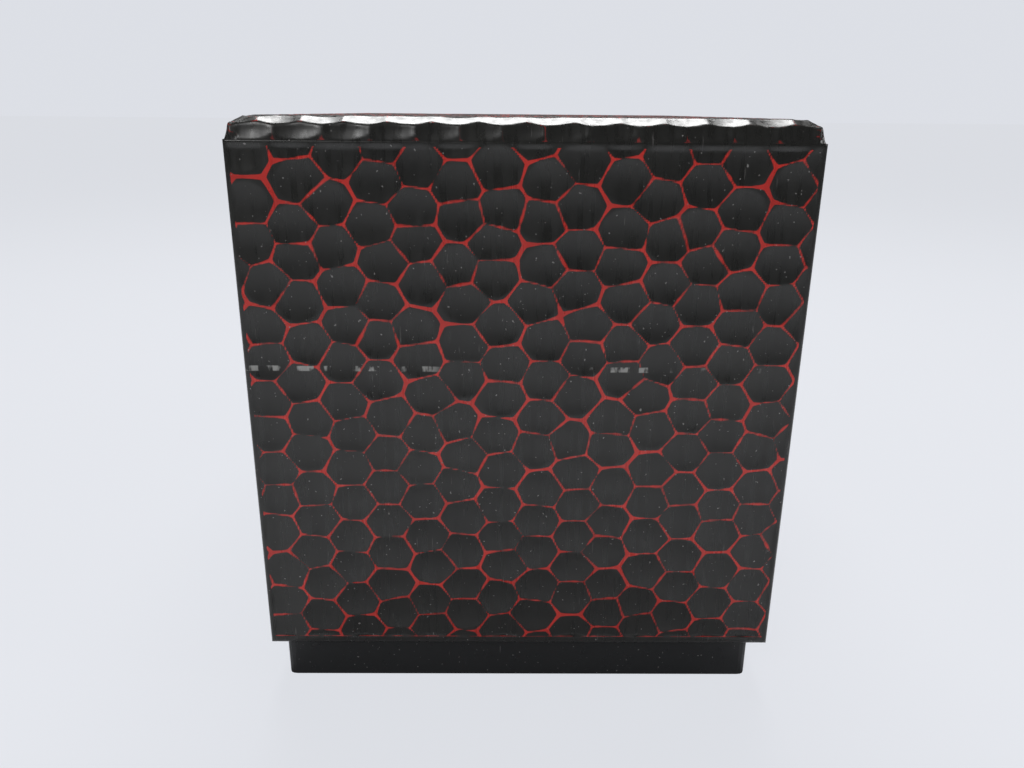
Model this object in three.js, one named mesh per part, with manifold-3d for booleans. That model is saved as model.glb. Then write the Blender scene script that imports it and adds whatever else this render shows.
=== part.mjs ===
// Small Japanese chest of drawers in carved black lacquer.
// Millimetres, +Z up, drawers facing -Y, origin on the floor below the middle of the whole chest.
import * as THREE from 'three';
import { mergeVertices } from 'three/addons/utils/BufferGeometryUtils.js';
import Module from 'manifold-3d';

const wasm = await Module();
wasm.setup();

// Carcase sizes
const chestWidth = 240;
const chestDepth = 180;
const sideHeight = 175.7;
const topThickness = 6.9;
const sideThickness = 8;
const bottomThickness = 6;
const backThickness = 4;
const shelfThickness = 4;
const dividerThickness = 5;
const topEdgeRadius = 5.5;
const topCornerRadius = 3;
const lipRadius = 2.5;

// Plinth sizes
const plinthHeight = 16.1;
const plinthSideInset = 4.6;
const plinthFrontInset = 5.1;
const plinthBackInset = 4.1;
const plinthThickness = 8;
const plinthCornerRadius = 3;

// Drawer sizes
const topRowHeight = 42;
const middleRowHeight = 54;
const frontThickness = 8;
const drawerWall = 5;
const drawerFloor = 4;
const drawerWallDrop = 4;
const sideClearance = 0.5;
const runClearance = 0.3;
const headClearance = 0.7;
const backClearance = 2;

// Ring pull sizes
const rosetteRadius = 7;
const rosetteThickness = 1.2;
const postRadius = 2.8;
const postThickness = 0.6;
const eyeRadius = 2.4;
const eyeWire = 0.9;
const eyeSink = 0.5;
const ringRadius = 9;
const ringWire = 1;
const pullRise = 5;

// Gouge carving sizes
const cellWidth = 12.5;
const cellHeight = 12.6;
const cellJitter = 1.7;
const scoopDepth = 0.6;
const ridgeDrop = 0.06;
const carveMargin = 1.2;
const lipMargin = 3.4;
const cutterHeight = 3;

// Places worked out from the sizes
const eyeOut = rosetteThickness + postThickness + eyeRadius + eyeWire - eyeSink;
const pullProjection = eyeOut + eyeRadius + eyeWire;
const right = chestWidth / 2;
const left = -right;
const front = -chestDepth / 2 + pullProjection / 2;
const back = front + chestDepth;
const sideTop = plinthHeight + sideHeight;
const innerRight = right - sideThickness;
const innerLeft = -innerRight;
const innerBack = back - backThickness;
const floorTop = plinthHeight + bottomThickness;
const upperShelfTop = sideTop - topRowHeight;
const lowerShelfTop = upperShelfTop - shelfThickness - middleRowHeight;

// Finishes
const carvedLacquer = new THREE.MeshStandardMaterial({ color: 0x2b2b2c, roughness: 0.35 });
const plainLacquer = new THREE.MeshStandardMaterial({ color: 0x26282a, roughness: 0.4 });
const drawerLacquer = new THREE.MeshStandardMaterial({ color: 0x7a1f16, roughness: 0.45 });
const brass = new THREE.MeshStandardMaterial({ color: 0x8a6a34, roughness: 0.4, metalness: 1 });

const chest = new THREE.Group();

function addMesh(name, geometry, material) {
  const mesh = new THREE.Mesh(geometry, material);
  mesh.name = name;
  chest.add(mesh);
  return mesh;
}

// A board between two corners
function boardGeometry(low, high) {
  const geometry = new THREE.BoxGeometry(high[0] - low[0], high[1] - low[1], high[2] - low[2]);
  geometry.translate((low[0] + high[0]) / 2, (low[1] + high[1]) / 2, (low[2] + high[2]) / 2);
  return geometry;
}

function toSolid(geometry) {
  const bare = geometry.clone();
  bare.deleteAttribute('normal');
  bare.deleteAttribute('uv');
  const merged = mergeVertices(bare, 1e-4);
  return new wasm.Manifold(new wasm.Mesh({
    numProp: 3,
    vertProperties: new Float32Array(merged.attributes.position.array),
    triVerts: new Uint32Array(merged.index.array),
  }));
}

function toGeometry(solid) {
  const mesh = solid.getMesh();
  const geometry = new THREE.BufferGeometry();
  geometry.setAttribute('position', new THREE.BufferAttribute(new Float32Array(mesh.vertProperties), 3));
  geometry.setIndex(new THREE.BufferAttribute(new Uint32Array(mesh.triVerts), 1));
  geometry.computeVertexNormals();
  return geometry;
}

// Repeatable chance, so the carving is the same each time
function chance(seed) {
  let state = seed;
  return () => {
    state = (Math.imul(state, 1664525) + 1013904223) >>> 0;
    return state / 4294967296;
  };
}

// The part of a polygon that lies nearer to one gouge cut's middle than to another's
function nearerPart(polygon, own, other) {
  const normal = [other[0] - own[0], other[1] - own[1]];
  const middle = [(other[0] + own[0]) / 2, (other[1] + own[1]) / 2];
  const reach = (p) => (p[0] - middle[0]) * normal[0] + (p[1] - middle[1]) * normal[1];
  const kept = [];
  polygon.forEach((p, i) => {
    const q = polygon[(i + 1) % polygon.length];
    const a = reach(p);
    const b = reach(q);
    if (a <= 0) kept.push(p);
    if ((a < 0 && b > 0) || (a > 0 && b < 0)) {
      const t = a / (a - b);
      kept.push([p[0] + (q[0] - p[0]) * t, p[1] + (q[1] - p[1]) * t]);
    }
  });
  return kept;
}

// Cells of a hand-carved tortoiseshell field: a loose honeycomb of gouge cuts
function carvedCells(width, height, seed) {
  const random = chance(seed);
  const middles = [];
  for (let i = -1; i <= Math.ceil(width / cellWidth); i += 1) {
    for (let j = -1; j <= Math.ceil(height / cellHeight); j += 1) {
      const shift = i % 2 === 0 ? 0.25 : 0.75;
      const u = (i + 0.5) * cellWidth + (random() - 0.5) * 2 * cellJitter;
      const v = (j + shift) * cellHeight + (random() - 0.5) * 2 * cellJitter;
      middles.push([u, v]);
    }
  }
  const reach = 2.5 * Math.max(cellWidth, cellHeight);
  const cells = [];
  for (const own of middles) {
    let polygon = [[0, 0], [width, 0], [width, height], [0, height]];
    for (const other of middles) {
      const distance = Math.hypot(other[0] - own[0], other[1] - own[1]);
      if (other !== own && distance < reach && polygon.length > 2) {
        polygon = nearerPart(polygon, own, other);
      }
    }
    if (polygon.length > 2) cells.push(polygon);
  }
  return cells;
}

function polygonArea(polygon) {
  return polygon.reduce((sum, p, i) => {
    const q = polygon[(i + 1) % polygon.length];
    return sum + (p[0] * q[1] - q[0] * p[1]) / 2;
  }, 0);
}

// The waste that the gouge takes off a face: its underside is the carved surface
function carvingWaste(width, height, seed) {
  const points = [];
  const triangles = [];
  const numbers = new Map();
  function point(u, v, w) {
    const key = [u, v, w].map((n) => Math.round(n * 1000)).join(' ');
    if (!numbers.has(key)) {
      numbers.set(key, points.length / 3);
      points.push(u, v, w);
    }
    return numbers.get(key);
  }
  for (const polygon of carvedCells(width, height, seed)) {
    const area = polygonArea(polygon);
    const share = Math.min(1, area / (cellWidth * cellHeight));
    const u = polygon.reduce((sum, p) => sum + p[0], 0) / polygon.length;
    const v = polygon.reduce((sum, p) => sum + p[1], 0) / polygon.length;
    const rim = polygon.map((p) => point(p[0], p[1], -ridgeDrop));
    const ring = rim.filter((n, i) => n !== rim[(i + 1) % rim.length]);
    if (ring.length < 3) continue;
    const middle = point(u, v, -ridgeDrop - scoopDepth * share);
    ring.forEach((n, i) => triangles.push([ring[(i + 1) % ring.length], n, middle]));
  }
  const edges = new Set(triangles.flatMap(([a, b, c]) => [`${a} ${b}`, `${b} ${c}`, `${c} ${a}`]));
  const crown = point(width / 2, height / 2, cutterHeight);
  const raised = (n) => point(points[3 * n], points[3 * n + 1], cutterHeight);
  for (const edge of edges) {
    const [a, b] = edge.split(' ').map(Number);
    if (!edges.has(`${b} ${a}`)) {
      triangles.push([b, a, raised(a)], [b, raised(a), raised(b)], [raised(b), raised(a), crown]);
    }
  }
  const geometry = new THREE.BufferGeometry();
  geometry.setAttribute('position', new THREE.BufferAttribute(new Float32Array(points), 3));
  geometry.setIndex(triangles.flat());
  return geometry;
}

// Carves a field on a face: across and up run along the face, out points away from it
function carve(geometry, corner, across, up, width, height, seed) {
  const waste = carvingWaste(width, height, seed);
  const out = new THREE.Vector3().crossVectors(across, up);
  waste.applyMatrix4(new THREE.Matrix4().makeBasis(across, up, out).setPosition(corner));
  return toGeometry(toSolid(geometry).subtract(toSolid(waste)));
}

const alongX = new THREE.Vector3(1, 0, 0);
const alongY = new THREE.Vector3(0, 1, 0);
const alongZ = new THREE.Vector3(0, 0, 1);

// Side boards, with a rounded lower lip and a carved outer face
function sideBoard(sign) {
  const outline = new THREE.Shape();
  outline.moveTo(sign * innerRight, plinthHeight);
  outline.lineTo(sign * innerRight, sideTop);
  outline.lineTo(sign * right, sideTop);
  outline.lineTo(sign * right, plinthHeight + lipRadius);
  outline.quadraticCurveTo(sign * right, plinthHeight, sign * (right - lipRadius), plinthHeight);
  outline.closePath();
  const board = new THREE.ExtrudeGeometry(outline, {
    depth: chestDepth, bevelEnabled: false, curveSegments: 4,
  });
  board.rotateX(Math.PI / 2);
  board.translate(0, back, 0);
  const corner = new THREE.Vector3(
    sign * right,
    sign > 0 ? front + carveMargin : back - carveMargin,
    plinthHeight + lipMargin,
  );
  const across = alongY.clone().multiplyScalar(sign);
  const width = chestDepth - 2 * carveMargin;
  const height = sideHeight - lipMargin - carveMargin;
  return carve(board, corner, across, alongZ, width, height, sign > 0 ? 7 : 11);
}

addMesh('left_side_board', sideBoard(-1), carvedLacquer);
addMesh('right_side_board', sideBoard(1), carvedLacquer);

// Top board: a slab with rounded corners whose upper edge is rounded over
function topBoard() {
  const halfWidth = chestWidth / 2 - topEdgeRadius;
  const halfDepth = chestDepth / 2 - topEdgeRadius;
  const corner = topCornerRadius / 2;
  const outline = new THREE.Shape();
  outline.moveTo(-halfWidth + corner, -halfDepth);
  outline.lineTo(halfWidth - corner, -halfDepth);
  outline.quadraticCurveTo(halfWidth, -halfDepth, halfWidth, -halfDepth + corner);
  outline.lineTo(halfWidth, halfDepth - corner);
  outline.quadraticCurveTo(halfWidth, halfDepth, halfWidth - corner, halfDepth);
  outline.lineTo(-halfWidth + corner, halfDepth);
  outline.quadraticCurveTo(-halfWidth, halfDepth, -halfWidth, halfDepth - corner);
  outline.lineTo(-halfWidth, -halfDepth + corner);
  outline.quadraticCurveTo(-halfWidth, -halfDepth, -halfWidth + corner, -halfDepth);
  const slab = new THREE.ExtrudeGeometry(outline, {
    depth: 2 * (topThickness - topEdgeRadius),
    curveSegments: 2,
    bevelEnabled: true,
    bevelSize: topEdgeRadius,
    bevelThickness: topEdgeRadius,
    bevelSegments: 4,
  });
  slab.translate(0, (front + back) / 2, sideTop - (topThickness - topEdgeRadius));
  const upperHalf = boardGeometry([left, front, sideTop], [right, back, sideTop + topThickness + 1]);
  return toGeometry(toSolid(slab).intersect(toSolid(upperHalf)));
}

addMesh('top_board', topBoard(), carvedLacquer);

// Boards inside the carcase
addMesh('bottom_board',
  boardGeometry([innerLeft, front, plinthHeight], [innerRight, back, floorTop]), plainLacquer);
addMesh('back_panel',
  boardGeometry([innerLeft, innerBack, floorTop], [innerRight, back, sideTop]), plainLacquer);
addMesh('lower_shelf',
  boardGeometry([innerLeft, front, lowerShelfTop - shelfThickness], [innerRight, innerBack, lowerShelfTop]),
  plainLacquer);
addMesh('upper_shelf',
  boardGeometry([innerLeft, front, upperShelfTop - shelfThickness], [innerRight, innerBack, upperShelfTop]),
  plainLacquer);
addMesh('top_row_divider',
  boardGeometry([-dividerThickness / 2, front, upperShelfTop], [dividerThickness / 2, innerBack, sideTop]),
  plainLacquer);

// Plinth: four rails, the front and back ones with rounded outer corners
const plinthRight = right - plinthSideInset;
const plinthFront = front + plinthFrontInset;
const plinthBack = back - plinthBackInset;

function cornerRail(outer, sign) {
  const inner = outer + sign * plinthThickness;
  const turn = outer + sign * plinthCornerRadius;
  const outline = new THREE.Shape();
  outline.moveTo(-plinthRight, inner);
  outline.lineTo(-plinthRight, turn);
  outline.quadraticCurveTo(-plinthRight, outer, -plinthRight + plinthCornerRadius, outer);
  outline.lineTo(plinthRight - plinthCornerRadius, outer);
  outline.quadraticCurveTo(plinthRight, outer, plinthRight, turn);
  outline.lineTo(plinthRight, inner);
  outline.closePath();
  return new THREE.ExtrudeGeometry(outline, {
    depth: plinthHeight, bevelEnabled: false, curveSegments: 4,
  });
}

addMesh('plinth_front_rail', cornerRail(plinthFront, 1), plainLacquer);
addMesh('plinth_back_rail', cornerRail(plinthBack, -1), plainLacquer);
const plinthSideRails = [
  ['plinth_left_rail', -plinthRight],
  ['plinth_right_rail', plinthRight - plinthThickness],
];
for (const [name, low] of plinthSideRails) {
  addMesh(name, boardGeometry(
    [low, plinthFront + plinthThickness, 0],
    [low + plinthThickness, plinthBack - plinthThickness, plinthHeight],
  ), plainLacquer);
}

// Ring pull: rosette on the front, post with an eye, and the ring that hangs through the eye
function addPull(drawer, x, z) {
  const rosette = new THREE.LatheGeometry([
    new THREE.Vector2(0, 0),
    new THREE.Vector2(rosetteRadius, 0),
    new THREE.Vector2(rosetteRadius - rosetteThickness / 2, rosetteThickness),
    new THREE.Vector2(0, rosetteThickness),
  ], 20);
  rosette.rotateX(Math.PI);
  rosette.translate(x, front, z);
  addMesh(`${drawer}_pull_rosette`, rosette, brass);

  const base = new THREE.CylinderGeometry(postRadius, postRadius, postThickness, 12);
  base.translate(0, rosetteThickness + postThickness / 2, 0);
  base.rotateX(Math.PI);
  base.translate(x, front, z);
  const eye = new THREE.TorusGeometry(eyeRadius, eyeWire, 6, 12);
  eye.rotateY(Math.PI / 2);
  eye.translate(x, front - eyeOut, z);
  addMesh(`${drawer}_pull_eye`, toGeometry(toSolid(base).add(toSolid(eye))), brass);

  const ring = new THREE.TorusGeometry(ringRadius, ringWire, 6, 22);
  ring.rotateX(Math.PI / 2);
  ring.translate(x, front - eyeOut, z - ringRadius);
  addMesh(`${drawer}_pull_ring`, ring, brass);
}

// Drawer: carved front, two sides, back and floor, with its pull
function addDrawer(name, lowX, highX, lowZ, highZ, seed) {
  const x0 = lowX + sideClearance;
  const x1 = highX - sideClearance;
  const z0 = lowZ + runClearance;
  const z1 = highZ - headClearance;
  const wallTop = z1 - drawerWallDrop;
  const bodyFront = front + frontThickness;
  const bodyBack = innerBack - backClearance;
  const slab = boardGeometry([x0, front, z0], [x1, bodyFront, z1]);
  const corner = new THREE.Vector3(x0 + carveMargin, front, z0 + carveMargin);
  const width = x1 - x0 - 2 * carveMargin;
  const height = z1 - z0 - 2 * carveMargin;
  addMesh(`${name}_front`, carve(slab, corner, alongX, alongZ, width, height, seed), carvedLacquer);
  addMesh(`${name}_left_side`,
    boardGeometry([x0, bodyFront, z0], [x0 + drawerWall, bodyBack, wallTop]), drawerLacquer);
  addMesh(`${name}_right_side`,
    boardGeometry([x1 - drawerWall, bodyFront, z0], [x1, bodyBack, wallTop]), drawerLacquer);
  addMesh(`${name}_back`,
    boardGeometry([x0 + drawerWall, bodyBack - drawerWall, z0 + drawerFloor],
      [x1 - drawerWall, bodyBack, wallTop]), drawerLacquer);
  addMesh(`${name}_floor`,
    boardGeometry([x0 + drawerWall, bodyFront, z0],
      [x1 - drawerWall, bodyBack, z0 + drawerFloor]), drawerLacquer);
  addPull(name, (x0 + x1) / 2, (z0 + z1) / 2 + pullRise);
}

addDrawer('upper_left_drawer', innerLeft, -dividerThickness / 2, upperShelfTop, sideTop, 21);
addDrawer('upper_right_drawer', dividerThickness / 2, innerRight, upperShelfTop, sideTop, 22);
addDrawer('middle_drawer', innerLeft, innerRight, lowerShelfTop, upperShelfTop - shelfThickness, 23);
addDrawer('bottom_drawer', innerLeft, innerRight, floorTop, lowerShelfTop - shelfThickness, 24);

export default chest;
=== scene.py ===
# Looks of the small carved lacquer chest of drawers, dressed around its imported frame, in metres.
import math

import bpy
import numpy as np
from mathutils import Matrix, Vector


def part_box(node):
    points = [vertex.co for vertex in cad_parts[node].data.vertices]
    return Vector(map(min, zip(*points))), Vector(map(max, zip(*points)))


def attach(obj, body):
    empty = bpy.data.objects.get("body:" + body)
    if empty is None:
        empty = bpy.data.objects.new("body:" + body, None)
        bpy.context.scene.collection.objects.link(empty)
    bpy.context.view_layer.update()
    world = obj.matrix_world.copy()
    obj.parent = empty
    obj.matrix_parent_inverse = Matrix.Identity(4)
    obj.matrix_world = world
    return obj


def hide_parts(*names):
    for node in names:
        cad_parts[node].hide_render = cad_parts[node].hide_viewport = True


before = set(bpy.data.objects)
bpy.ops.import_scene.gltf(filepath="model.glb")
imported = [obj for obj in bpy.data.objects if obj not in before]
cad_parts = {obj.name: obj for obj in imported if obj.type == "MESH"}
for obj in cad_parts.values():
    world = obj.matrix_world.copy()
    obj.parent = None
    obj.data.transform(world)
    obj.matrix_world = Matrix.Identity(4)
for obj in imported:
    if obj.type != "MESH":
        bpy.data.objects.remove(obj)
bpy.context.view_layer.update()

MM = 0.001
GRID_STEP = 0.6 * MM
COARSE_STEP = 0.9 * MM
TOP_STEP = 0.7 * MM
CELL_WIDTH = 12.5 * MM
CELL_HEIGHT = 12.6 * MM
CELL_JITTER = 1.7 * MM
SCOOP_DEPTH = 0.6 * MM
SCOOP_REACH = 7.0 * MM
CARVE_MARGIN = 1.2 * MM
LIP_MARGIN = 3.4 * MM
LIP_RADIUS = 2.5 * MM
ARRIS_RADIUS = 0.9 * MM
EDGE_RADIUS = 5.5 * MM
EDGE_UPRIGHT = 1.4 * MM
EDGE_CUT_LENGTH = 13.5 * MM
EDGE_CUT_DEPTH = 0.8 * MM
EDGE_CUT_STRAY = 1.3 * MM
EDGE_LONG_REACH = 0.57 * EDGE_CUT_LENGTH
EDGE_SHORT_REACH = 2.7 * MM
EDGE_ROWS = (2.6 * MM, 7.2 * MM)
LACQUER_IOR = 1.6
BACKDROP = (0.79, 0.81, 0.86, 1)
HAND_STRAY = 1.5 * MM
SCUFF_HEIGHT = 121 * MM
SCUFF_REACH = 1.0 * MM
SCUFF_SOFT = 0.3 * MM
SCUFF_INNER = 2 * MM
SCUFF_OUTER = 1.5 * MM
HAND_PRESSURE = 0.13
STRAY_AT_FOOT = 0.35
STRAY_ACROSS = 1.15
STRAY_UP = 0.7
CUT_WIDER = 1.06
CUT_LOWER = 0.97
DEEP_RED = (0.50, 0.016, 0.012)
BRIGHT_RED = (1.0, 0.055, 0.038)
DEEP_BLACK = (0.010, 0.010, 0.009)
WORN_BLACK = (0.026, 0.026, 0.022)
DUST = (0.30, 0.29, 0.28)
SCRATCH = (0.22, 0.21, 0.20)
SCUFF = (0.42, 0.42, 0.40)
RIDGE_SPREAD = 3.27
RIDGE_BLOB = 2.4
RIDGE_CAP = 0.03 * MM
PLAIN_BLACK = 2.0
FAR_FROM_RIDGE = 9
BORDER_BELOW = 2 * MM
BORDER_ABOVE = 1 * MM
FADE = 0.8 * MM
FLOOR_HALF = 20.0
DIM_ROOM = (0.10, 0.10, 0.105)
SKY = (0.72, 0.74, 0.79)
FLOOR_GLOW = 0.88
DRAWERS = ("upper_left_drawer", "upper_right_drawer", "middle_drawer", "bottom_drawer")

X = Vector((1, 0, 0))
Y = Vector((0, 1, 0))
Z = Vector((0, 0, 1))

left_low, left_high = (Vector(p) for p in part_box("left_side_board"))
right_low, right_high = (Vector(p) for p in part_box("right_side_board"))
top_low, top_high = (Vector(p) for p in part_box("top_board"))


# Camera, from a fit to the edges of the photographed side
FOCAL_PIXELS = 817
IMAGE_WIDTH = 1024
SENSOR_WIDTH = 36
CAMERA_DISTANCE = 252 * MM
CAMERA_ACROSS = 84 * MM
CAMERA_ABOVE = 1.6 * MM
PITCH = math.radians(18.46)
ROLL = math.radians(0.49)
YAW = math.radians(0.55)


def make_camera():
    camera = bpy.data.cameras.new("photo_camera")
    camera.sensor_width = SENSOR_WIDTH
    camera.lens = FOCAL_PIXELS / IMAGE_WIDTH * SENSOR_WIDTH
    camera.clip_start = 0.01
    place = bpy.data.objects.new("photo_camera", camera)
    bpy.context.scene.collection.objects.link(place)
    facing = Matrix((-Y, Z, -X)).transposed()
    turn = Matrix.Rotation(-YAW, 3, "Y") @ Matrix.Rotation(-PITCH, 3, "X") @ Matrix.Rotation(ROLL, 3, "Z")
    place.matrix_world = (facing @ turn).to_4x4()
    place.location = (
        left_low.x - CAMERA_DISTANCE,
        left_high.y - CAMERA_ACROSS,
        top_high.z + CAMERA_ABOVE,
    )
    bpy.context.scene.camera = place


make_camera()


# Node helpers
def new_material(name):
    material = bpy.data.materials.new(name)
    material.use_nodes = True
    nodes = material.node_tree.nodes
    return material, nodes, material.node_tree.links, nodes["Principled BSDF"]


def noise(nodes, links, scale, detail=3, stretch=(1, 1, 1)):
    place = nodes.new("ShaderNodeTexCoord")
    mapping = nodes.new("ShaderNodeMapping")
    mapping.inputs["Scale"].default_value = stretch
    texture = nodes.new("ShaderNodeTexNoise")
    texture.inputs["Scale"].default_value = scale
    texture.inputs["Detail"].default_value = detail
    links.new(place.outputs["Object"], mapping.inputs["Vector"])
    links.new(mapping.outputs["Vector"], texture.inputs["Vector"])
    return texture.outputs["Fac"]


def spread(nodes, links, value, low, high, to_low=0.0, to_high=1.0):
    ranged = nodes.new("ShaderNodeMapRange")
    ranged.inputs["From Min"].default_value = low
    ranged.inputs["From Max"].default_value = high
    ranged.inputs["To Min"].default_value = to_low
    ranged.inputs["To Max"].default_value = to_high
    links.new(value, ranged.inputs["Value"])
    return ranged.outputs["Result"]


def blend_colours(nodes, links, share, first, second):
    mix = nodes.new("ShaderNodeMix")
    mix.data_type = "RGBA"
    links.new(share, mix.inputs["Factor"])
    for socket, value in ((mix.inputs["A"], first), (mix.inputs["B"], second)):
        if isinstance(value, tuple):
            socket.default_value = (*value, 1)
        else:
            links.new(value, socket)
    return mix.outputs["Result"]


def add_bump(nodes, links, shader, height, distance, strength=1.0):
    bump = nodes.new("ShaderNodeBump")
    bump.inputs["Distance"].default_value = distance
    bump.inputs["Strength"].default_value = strength
    links.new(height, bump.inputs["Height"])
    links.new(bump.outputs["Normal"], shader.inputs["Normal"])


def dust_and_scratches(nodes, links, colour):
    specks = spread(nodes, links, noise(nodes, links, 900, 1), 0.74, 0.78)
    dusty = blend_colours(nodes, links, specks, colour, DUST)
    scuffs = spread(nodes, links, noise(nodes, links, 160, 4, (1, 6, 0.5)), 0.71, 0.76, 0, 0.5)
    return blend_colours(nodes, links, scuffs, dusty, SCRATCH)


# A broken line of pale scuffs at one height of the left side
def scuff_line(nodes, links):
    place = nodes.new("ShaderNodeTexCoord")
    axes = nodes.new("ShaderNodeSeparateXYZ")
    links.new(place.outputs["Object"], axes.inputs["Vector"])
    low = SCUFF_HEIGHT - SCUFF_REACH
    high = SCUFF_HEIGHT + SCUFF_REACH
    shares = [
        spread(nodes, links, axes.outputs["Z"], low, low + SCUFF_SOFT),
        spread(nodes, links, axes.outputs["Z"], high, high - SCUFF_SOFT),
        spread(nodes, links, axes.outputs["X"], left_low.x + SCUFF_INNER, left_low.x + SCUFF_OUTER),
        spread(nodes, links, noise(nodes, links, 230, 3, (1, 1, 0.4)), 0.52, 0.58),
        spread(nodes, links, noise(nodes, links, 55, 1, (1, 1, 0.2)), 0.47, 0.55),
    ]
    total = shares[0]
    for share in shares[1:]:
        product = nodes.new("ShaderNodeMath")
        product.operation = "MULTIPLY"
        links.new(total, product.inputs[0])
        links.new(share, product.inputs[1])
        total = product.outputs["Value"]
    return total


# Black lacquer over red: red wherever the stored distance to a ridge is small
def carved_lacquer():
    material, nodes, links, shader = new_material("carved_lacquer_over_red")
    stored = nodes.new("ShaderNodeAttribute")
    stored.attribute_name = "ridge"
    wander = spread(nodes, links, noise(nodes, links, 150, 4), 0.3, 0.7, -0.26, 0.26)
    moved = nodes.new("ShaderNodeMath")
    moved.operation = "ADD"
    links.new(stored.outputs["Fac"], moved.inputs[0])
    links.new(wander, moved.inputs[1])
    black_share = spread(nodes, links, moved.outputs["Value"], 0.05, 0.38)
    red = blend_colours(nodes, links, noise(nodes, links, 90, 3), DEEP_RED, BRIGHT_RED)
    black = blend_colours(nodes, links, noise(nodes, links, 40, 3), DEEP_BLACK, WORN_BLACK)
    colour = blend_colours(nodes, links, black_share, red, black)
    scuffed = blend_colours(nodes, links, scuff_line(nodes, links), colour, SCUFF)
    links.new(dust_and_scratches(nodes, links, scuffed), shader.inputs["Base Color"])
    streaks = noise(nodes, links, 420, 3, (1, 1, 0.06))
    links.new(spread(nodes, links, streaks, 0.3, 0.7, 0.20, 0.42), shader.inputs["Roughness"])
    add_bump(nodes, links, shader, streaks, 0.03 * MM, 0.5)
    shader.inputs["IOR"].default_value = LACQUER_IOR
    shader.inputs["Coat Weight"].default_value = 0.1
    shader.inputs["Coat Roughness"].default_value = 0.15
    return material


def plain_lacquer(name, dark, pale, rough):
    material, nodes, links, shader = new_material(name)
    colour = blend_colours(nodes, links, noise(nodes, links, 30, 4), dark, pale)
    links.new(dust_and_scratches(nodes, links, colour), shader.inputs["Base Color"])
    orange_peel = noise(nodes, links, 350, 3)
    roughness = spread(nodes, links, orange_peel, 0.3, 0.7, rough - 0.08, rough + 0.1)
    links.new(roughness, shader.inputs["Roughness"])
    add_bump(nodes, links, shader, orange_peel, 0.03 * MM, 0.4)
    shader.inputs["IOR"].default_value = LACQUER_IOR
    return material


def drawer_wood():
    material, nodes, links, shader = new_material("drawer_wood")
    grain = noise(nodes, links, 120, 6, (6, 0.4, 6))
    colour = blend_colours(nodes, links, grain, (0.10, 0.045, 0.022), (0.30, 0.17, 0.09))
    links.new(colour, shader.inputs["Base Color"])
    links.new(spread(nodes, links, grain, 0.3, 0.7, 0.5, 0.7), shader.inputs["Roughness"])
    add_bump(nodes, links, shader, grain, 0.08 * MM, 0.5)
    return material


def aged_brass():
    material, nodes, links, shader = new_material("aged_brass")
    tarnish = noise(nodes, links, 300, 5)
    colour = blend_colours(nodes, links, tarnish, (0.50, 0.34, 0.13), (0.10, 0.07, 0.04))
    links.new(colour, shader.inputs["Base Color"])
    shader.inputs["Metallic"].default_value = 1.0
    links.new(spread(nodes, links, tarnish, 0.3, 0.7, 0.25, 0.5), shader.inputs["Roughness"])
    add_bump(nodes, links, shader, noise(nodes, links, 900, 2), 0.03 * MM, 0.5)
    return material


CARVED = carved_lacquer()
PLAIN = plain_lacquer("plain_black_lacquer", (0.010, 0.011, 0.012), (0.020, 0.021, 0.022), 0.34)
WOOD = drawer_wood()
BRASS = aged_brass()


# Gouge cuts of a field, laid out by the same chance as in the solids. Roughening them then moves
# each one a little, so they fall near the solids' cuts and not exactly on them
def field_cuts(width, height, seed):
    state = seed

    def chance():
        nonlocal state
        state = (state * 1664525 + 1013904223) & 0xFFFFFFFF
        return state / 4294967296

    cuts = []
    for i in range(-1, math.ceil(width / CELL_WIDTH) + 1):
        for j in range(-1, math.ceil(height / CELL_HEIGHT) + 1):
            shift = 0.25 if i % 2 == 0 else 0.75
            u = (i + 0.5) * CELL_WIDTH + (chance() - 0.5) * 2 * CELL_JITTER
            v = (j + shift) * CELL_HEIGHT + (chance() - 0.5) * 2 * CELL_JITTER
            cuts.append((u, v, SCOOP_REACH, SCOOP_REACH, SCOOP_DEPTH))
    return roughened(cuts, height, seed)


# A hand is not even: cuts differ in depth, and wander more toward the top of a field
def roughened(cuts, height, seed):
    hand = np.random.default_rng(seed)
    rough = []
    for u, v, ru, rv, depth in cuts:
        stray = HAND_STRAY * (STRAY_AT_FOOT + max(0.0, v / height))
        u += float(hand.uniform(-STRAY_ACROSS, STRAY_ACROSS)) * stray
        v += float(hand.uniform(-STRAY_UP, STRAY_UP)) * stray
        pressed = depth * (1 + HAND_PRESSURE * float(hand.uniform(-1, 1)))
        rough.append((u, v, ru * CUT_WIDER, rv * CUT_LOWER, pressed))
    return rough


# Height of the carved surface, and roughly the distance to the nearest ridge in millimetres,
# which is lowered on the high spots between cuts, so that they turn red
def carved_surface(u, v, cuts):
    lowest = np.full(u.shape, np.inf)
    second = np.full(u.shape, np.inf)
    for cu, cv, ru, rv, depth in cuts:
        scoop = depth * (((u - cu) / ru) ** 2 + ((v - cv) / rv) ** 2 - 1)
        second = np.minimum(second, np.maximum(lowest, scoop))
        lowest = np.minimum(lowest, scoop)
    capped = np.minimum(lowest, 0)
    ridge = RIDGE_SPREAD * (second - lowest) / MM - RIDGE_BLOB * np.maximum(lowest + RIDGE_CAP, 0) / MM
    return capped, ridge


def add_object(name, mesh, body, material, node):
    mesh.materials.append(material)
    piece = bpy.data.objects.new(name, mesh)
    bpy.context.scene.collection.objects.link(piece)
    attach(piece, body)
    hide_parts(node)
    return piece


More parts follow.
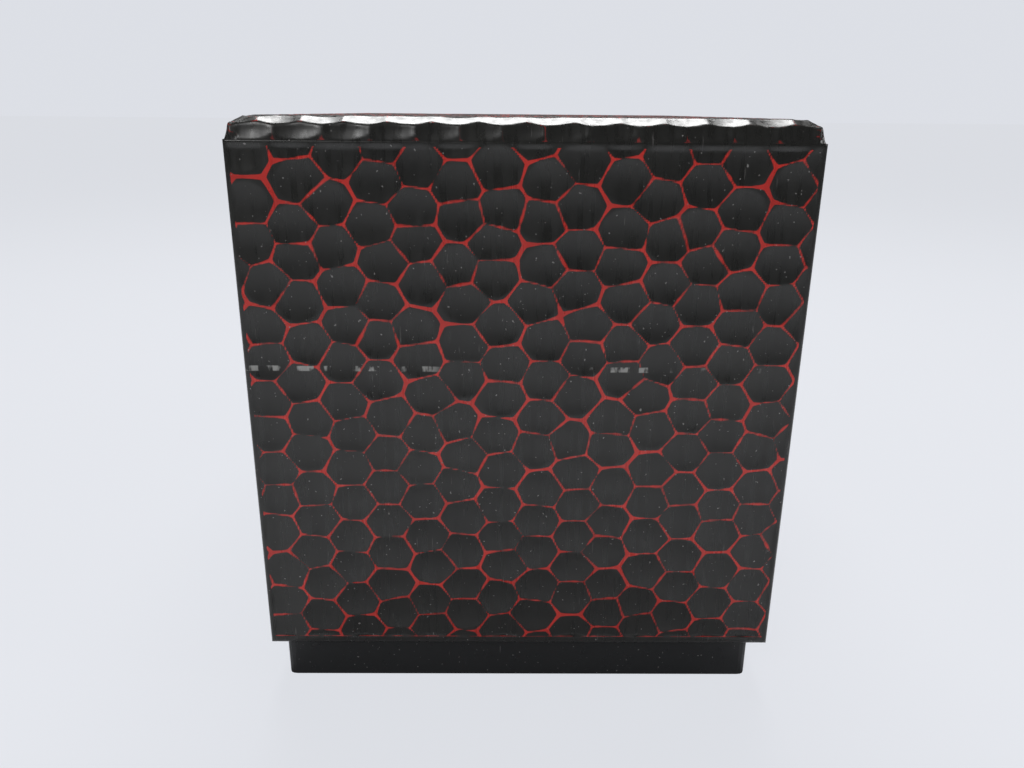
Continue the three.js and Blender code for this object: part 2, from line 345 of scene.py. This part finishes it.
# A closed board whose outer face is a fine grid, with walls and a back
def grid_mesh(name, points, back_points, ridge):
    rows, columns = points.shape[:2]
    index = np.arange(rows * columns).reshape(rows, columns)
    quads = np.stack((index[:-1, :-1], index[:-1, 1:], index[1:, 1:], index[1:, :-1]), -1).reshape(-1, 4)
    rim = np.concatenate((index[0, :-1], index[:-1, -1], index[-1, :0:-1], index[:0:-1, 0]))
    rim_back = back_points.reshape(-1, 3)[rim]
    count = rows * columns
    around = len(rim)
    walls = [
        (int(rim[(k + 1) % around]), int(rim[k]), count + k, count + (k + 1) % around)
        for k in range(around)
    ]
    back = [tuple(range(count + around - 1, count - 1, -1))]
    mesh = bpy.data.meshes.new(name)
    vertices = np.concatenate((points.reshape(-1, 3), rim_back))
    mesh.from_pydata(vertices.tolist(), [], quads.tolist() + walls + back)
    smooth = np.zeros(len(mesh.polygons), dtype=bool)
    smooth[: len(quads)] = True
    mesh.polygons.foreach_set("use_smooth", smooth)
    stored = mesh.attributes.new("ridge", "FLOAT", "POINT")
    stored.data.foreach_set("value", np.concatenate((ridge.ravel(), np.full(around, PLAIN_BLACK))))
    mesh.update()
    return mesh


def rounding(distance, radius):
    inside = np.clip(radius - distance, 0, radius)
    return radius - np.sqrt(np.maximum(radius ** 2 - inside ** 2, 0))


def carved_board(name, node, body, corner, across, up, size, thickness, seed, lip=0.0, step=GRID_STEP):
    width, height = size
    u, v = np.meshgrid(
        np.linspace(0, width, round(width / step) + 1),
        np.linspace(0, height, round(height / step) + 1),
    )
    low_margin = LIP_MARGIN if lip else CARVE_MARGIN
    field_u = u - CARVE_MARGIN
    field_v = v - low_margin
    field_width = width - 2 * CARVE_MARGIN
    field_height = height - low_margin - CARVE_MARGIN
    cut, ridge = carved_surface(field_u, field_v, field_cuts(field_width, field_height, seed))
    edge = np.minimum.reduce((field_u, field_width - field_u, field_v, field_height - field_v))
    fade = np.clip(edge / FADE, 0, 1)
    near_end = (field_v < BORDER_BELOW) | (field_v > field_height - BORDER_ABOVE)
    border = np.where(near_end, edge / MM, FAR_FROM_RIDGE)
    ridge = np.where(edge > 0, np.minimum(ridge, border), PLAIN_BLACK)
    fall = np.maximum(rounding(np.minimum(u, width - u), ARRIS_RADIUS), rounding(v, lip or ARRIS_RADIUS))
    out = across.cross(up)
    outward = (cut * fade - fall)[..., None] * np.array(out)
    flat = np.array(corner) + u[..., None] * np.array(across) + v[..., None] * np.array(up)
    mesh = grid_mesh(name, flat + outward, flat - thickness * np.array(out), ridge)
    return add_object(name, mesh, body, CARVED, node)


SIDE_SIZE = (left_high.y - left_low.y, left_high.z - left_low.z)
SIDE_THICKNESS = left_high.x - left_low.x
carved_board("left_side_carving", "left_side_board", "carcase",
             Vector((left_low.x, left_high.y, left_low.z)), -Y, Z, SIDE_SIZE, SIDE_THICKNESS, 11, LIP_RADIUS)
carved_board("right_side_carving", "right_side_board", "carcase",
             Vector((right_high.x, right_low.y, right_low.z)), Y, Z, SIDE_SIZE, SIDE_THICKNESS, 7,
             LIP_RADIUS, COARSE_STEP)

for seed, drawer in enumerate(DRAWERS, 21):
    low, high = (Vector(p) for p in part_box(drawer + "_front"))
    carved_board(drawer + "_carving", drawer + "_front", drawer, low, X, Z,
                 (high.x - low.x, high.z - low.z), high.y - low.y, seed, 0.0, COARSE_STEP)


# Top board: the grid runs over the rounded edge, along which two rows of long cuts lie
def top_cuts(flat_width, flat_depth):
    cuts = [
        (u - flat_width / 2, v - flat_depth / 2, ru, rv, depth)
        for u, v, ru, rv, depth in field_cuts(flat_width, flat_depth, 31)
        if 0 < u < flat_width and 0 < v < flat_depth
    ]
    half_width, half_depth = flat_width / 2, flat_depth / 2
    for row, reach in enumerate(EDGE_ROWS):
        for half, other, turned in ((half_width, half_depth, False), (half_depth, half_width, True)):
            count = math.ceil(2 * (other + EDGE_RADIUS) / EDGE_CUT_LENGTH) + 1
            for k in range(count):
                along = (k - count / 2 + 0.5 * row) * EDGE_CUT_LENGTH
                along += EDGE_CUT_STRAY * math.sin(7.1 * k + 3 * row)
                for sign in (-1, 1):
                    away = sign * (half + reach)
                    if turned:
                        cuts.append((along, away, EDGE_LONG_REACH, EDGE_SHORT_REACH, EDGE_CUT_DEPTH))
                    else:
                        cuts.append((away, along, EDGE_SHORT_REACH, EDGE_LONG_REACH, EDGE_CUT_DEPTH))
    return cuts


def top_board():
    centre = (top_low + top_high) / 2
    flat_width = top_high.x - top_low.x - 2 * EDGE_RADIUS
    flat_depth = top_high.y - top_low.y - 2 * EDGE_RADIUS
    arc = EDGE_RADIUS * math.pi / 2
    reach = arc + EDGE_UPRIGHT
    half_a = flat_width / 2 + reach
    half_b = flat_depth / 2 + reach
    a, b = np.meshgrid(
        np.linspace(-half_a, half_a, round(2 * half_a / TOP_STEP) + 1),
        np.linspace(-half_b, half_b, round(2 * half_b / TOP_STEP) + 1),
    )
    past_a = np.maximum(np.abs(a) - flat_width / 2, 0)
    past_b = np.maximum(np.abs(b) - flat_depth / 2, 0)
    past = np.maximum(past_a, past_b)
    length = np.maximum((past_a ** 5 + past_b ** 5) ** 0.2, 1e-9)
    way_a = np.sign(a) * past_a / length
    way_b = np.sign(b) * past_b / length
    angle = np.minimum(past / EDGE_RADIUS, math.pi / 2)
    cut, ridge = carved_surface(a, b, top_cuts(flat_width, flat_depth))
    cut = cut * np.clip((reach - past) / FADE, 0, 1)
    swing = (EDGE_RADIUS + cut) * np.sin(angle)
    x = np.clip(a, -flat_width / 2, flat_width / 2) + way_a * swing + centre.x
    y = np.clip(b, -flat_depth / 2, flat_depth / 2) + way_b * swing + centre.y
    z = top_high.z - EDGE_RADIUS + (EDGE_RADIUS + cut) * np.cos(angle) - np.maximum(past - arc, 0)
    points = np.stack((x, y, z), -1)
    points[..., 2] = np.maximum(points[..., 2], top_low.z + 0.02 * MM)
    under = points.copy()
    under[..., 2] = top_low.z
    ridge = np.maximum(ridge, 0.1) + np.where(past > 0, 0.2, 0)
    mesh = grid_mesh("top_board_carving", points, under, ridge)
    return add_object("top_board_carving", mesh, "carcase", CARVED, "top_board")


top_board()


# A piece that keeps its solid gets a finish
def dress(node, material):
    obj = bpy.data.objects[node]
    obj.data.materials.clear()
    obj.data.materials.append(material)


# Ring pulls, turned and bent from brass
def turned_mesh(name, rings, closed_around):
    rows, columns = rings.shape[:2]
    index = np.arange(rows * columns).reshape(rows, columns)
    after = np.roll(index, -1, axis=1)
    last = rows if closed_around else rows - 1
    quads = [
        (int(index[r, c]), int(after[r, c]), int(after[(r + 1) % rows, c]), int(index[(r + 1) % rows, c]))
        for r in range(last) for c in range(columns)
    ]
    if not closed_around:
        quads.append(tuple(int(n) for n in index[0][::-1]))
        quads.append(tuple(int(n) for n in index[-1]))
    mesh = bpy.data.meshes.new(name)
    mesh.from_pydata(rings.reshape(-1, 3).tolist(), [], quads)
    mesh.polygons.foreach_set("use_smooth", [True] * len(mesh.polygons))
    mesh.update()
    return mesh


def wire_circle(centre, radius, wire, first, second, around=72, along=14):
    t = np.linspace(0, 2 * math.pi, around, endpoint=False)[:, None, None]
    s = np.linspace(0, 2 * math.pi, along, endpoint=False)[None, :, None]
    radial = np.cos(t) * np.array(first) + np.sin(t) * np.array(second)
    axis = np.array(first.cross(second))
    return np.array(centre) + radial * (radius + wire * np.cos(s)) - axis * wire * np.sin(s) * np.ones_like(t)


def rosette_rings(centre, radius, thickness):
    petals = 16
    turn = np.linspace(0, 2 * math.pi, petals * 8, endpoint=False)
    flute = np.abs(np.cos(turn * petals / 2))
    rim = ((1.0, 0.0), (1.0, 0.25), (0.97, 0.5), (0.8, 0.9))
    boss = ((0.6, 0.95), (0.5, 0.75), (0.46, 0.98), (0.2, 1.0))
    rings = []
    for share, lift in rim + boss:
        edge = share * (1 - 0.07 * (1 - flute) * (share > 0.55))
        height = thickness * lift * (1 - 0.35 * (1 - flute) * (0.55 < share < 0.99))
        ring = np.stack((
            centre.x + radius * edge * np.cos(turn),
            centre.y - height * np.ones_like(turn),
            centre.z + radius * edge * np.sin(turn),
        ), -1)
        rings.append(ring)
    return np.array(rings)


# The solid's ring has wire of six sides, so its box is thinner than the wire by that sine
for drawer in DRAWERS:
    ring_body = drawer.replace("drawer", "ring")
    low, high = (Vector(p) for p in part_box(drawer + "_pull_ring"))
    wire = (high.y - low.y) / 2 / math.sin(math.pi / 3)
    radius = (high.x - low.x) / 2 - wire
    hung = wire_circle((low + high) / 2, radius, wire * 0.97, X, Z)
    add_object(drawer + "_ring", turned_mesh(drawer + "_ring", hung, True), ring_body, BRASS,
               drawer + "_pull_ring")
    low, high = (Vector(p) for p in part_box(drawer + "_pull_rosette"))
    face = Vector(((low.x + high.x) / 2, high.y, (low.z + high.z) / 2))
    petals = rosette_rings(face, (high.x - low.x) / 2, high.y - low.y)
    add_object(drawer + "_rosette", turned_mesh(drawer + "_rosette", petals, False), drawer, BRASS,
               drawer + "_pull_rosette")
    dress(drawer + "_pull_eye", BRASS)


# Finishes of the boards that keep their solids
for node in ("bottom_board", "back_panel", "lower_shelf", "upper_shelf", "top_row_divider",
             "plinth_front_rail", "plinth_back_rail", "plinth_left_rail", "plinth_right_rail"):
    dress(node, PLAIN)
for drawer in DRAWERS:
    for part in ("left_side", "right_side", "back", "floor"):
        dress(f"{drawer}_{part}", WOOD)


# Stage: a pale floor, and the studio light
def make_stage():
    material, nodes, links, shader = new_material("pale_floor")
    colour = blend_colours(nodes, links, noise(nodes, links, 6, 3), (0.66, 0.67, 0.70), (0.69, 0.70, 0.73))
    links.new(colour, shader.inputs["Base Color"])
    shader.inputs["Roughness"].default_value = 0.6
    glow = nodes.new("ShaderNodeEmission")
    glow.inputs["Color"].default_value = BACKDROP
    seen = nodes.new("ShaderNodeLightPath")
    share = nodes.new("ShaderNodeMath")
    share.operation = "MULTIPLY"
    share.inputs[1].default_value = FLOOR_GLOW
    links.new(seen.outputs["Is Camera Ray"], share.inputs[0])
    mix = nodes.new("ShaderNodeMixShader")
    links.new(share.outputs["Value"], mix.inputs["Fac"])
    links.new(shader.outputs["BSDF"], mix.inputs[1])
    links.new(glow.outputs["Emission"], mix.inputs[2])
    links.new(mix.outputs["Shader"], nodes["Material Output"].inputs["Surface"])
    half = FLOOR_HALF
    mesh = bpy.data.meshes.new("floor")
    corners = [(-half, -half, 0), (half, -half, 0), (half, half, 0), (-half, half, 0)]
    mesh.from_pydata(corners, [], [(0, 1, 2, 3)])
    mesh.materials.append(material)
    floor = bpy.data.objects.new("floor", mesh)
    bpy.context.scene.collection.objects.link(floor)


def make_lamp(name, place, target, size, power):
    lamp = bpy.data.lights.new(name, "AREA")
    lamp.size = size
    lamp.energy = power
    obj = bpy.data.objects.new(name, lamp)
    obj.location = place
    obj.rotation_euler = (Vector(target) - Vector(place)).to_track_quat("-Z", "Y").to_euler()
    bpy.context.scene.collection.objects.link(obj)


def make_world():
    world = bpy.data.worlds.new("studio")
    world.use_nodes = True
    nodes, links = world.node_tree.nodes, world.node_tree.links
    background = nodes["Background"]
    path = nodes.new("ShaderNodeLightPath")
    colour = blend_colours(nodes, links, path.outputs["Is Camera Ray"], DIM_ROOM, SKY)
    links.new(colour, background.inputs["Color"])
    bpy.context.scene.world = world


make_stage()
make_lamp("overhead", (0.5, 0.0, 1.25), (-0.05, 0, 0.1), 0.8, 20)
make_lamp("camera_side", (-1.3, 0.8, 1.2), (-0.1, 0, 0.1), 0.6, 6)
make_lamp("front_side", (-0.2, -1.5, 0.9), (0, 0, 0.1), 0.7, 6)
make_world()
bpy.context.scene.view_settings.view_transform = "Standard"
